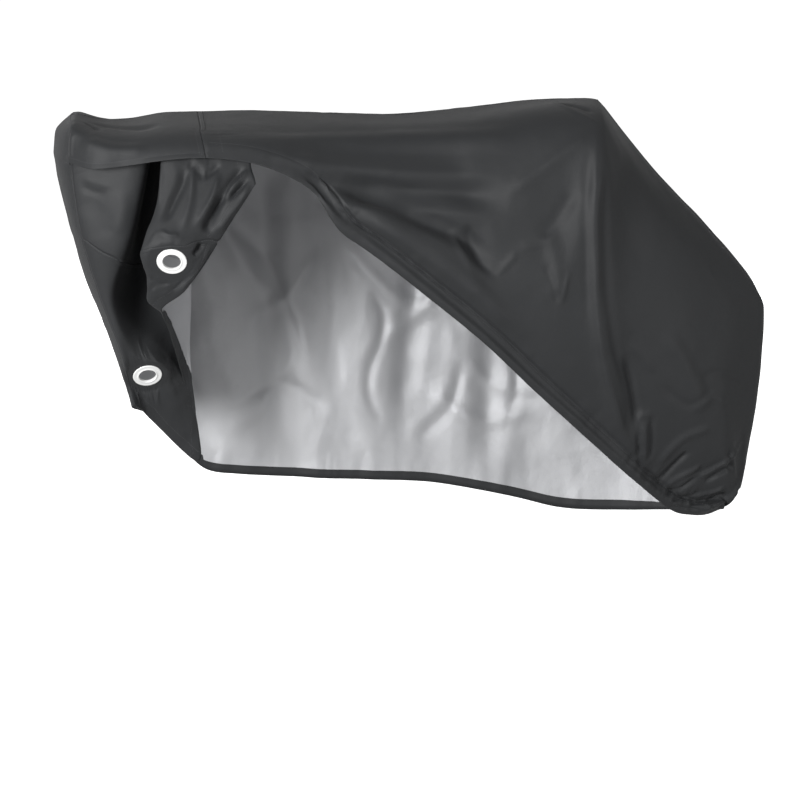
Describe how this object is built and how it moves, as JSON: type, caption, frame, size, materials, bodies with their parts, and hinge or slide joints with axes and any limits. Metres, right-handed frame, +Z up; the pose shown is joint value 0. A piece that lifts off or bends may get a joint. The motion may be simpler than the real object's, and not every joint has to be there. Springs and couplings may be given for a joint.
{
  "type": "bicycle cover",
  "caption": "Draped weather cover for two bicycles, with an elastic hem, a closed front end and a lock flap with ringed lock holes.",
  "frame": {"origin": "underside of the roof at mid-length, where the cover rests on what it covers", "axes": "+X runs along the cover to its rear, +Y to the far side, +Z up"},
  "size_m": [1.9623, 0.781, 1.2423],
  "materials": {
    "coated_cloth": "charcoal plain-weave cloth with a soft sheen outside and a silver coating inside",
    "ring_plastic": "glossy white"
  },
  "bodies": {
    "root": {"side_near_rear": "coated_cloth", "side_near_front": "coated_cloth", "drop_near": "coated_cloth", "lock_front": "coated_cloth", "lock_flap": "coated_cloth", "front_end": "coated_cloth", "rear_strip": "coated_cloth", "side_far": "coated_cloth", "eyelet_near": "ring_plastic", "eyelet_front": "ring_plastic"}
  },
  "joints": []
}
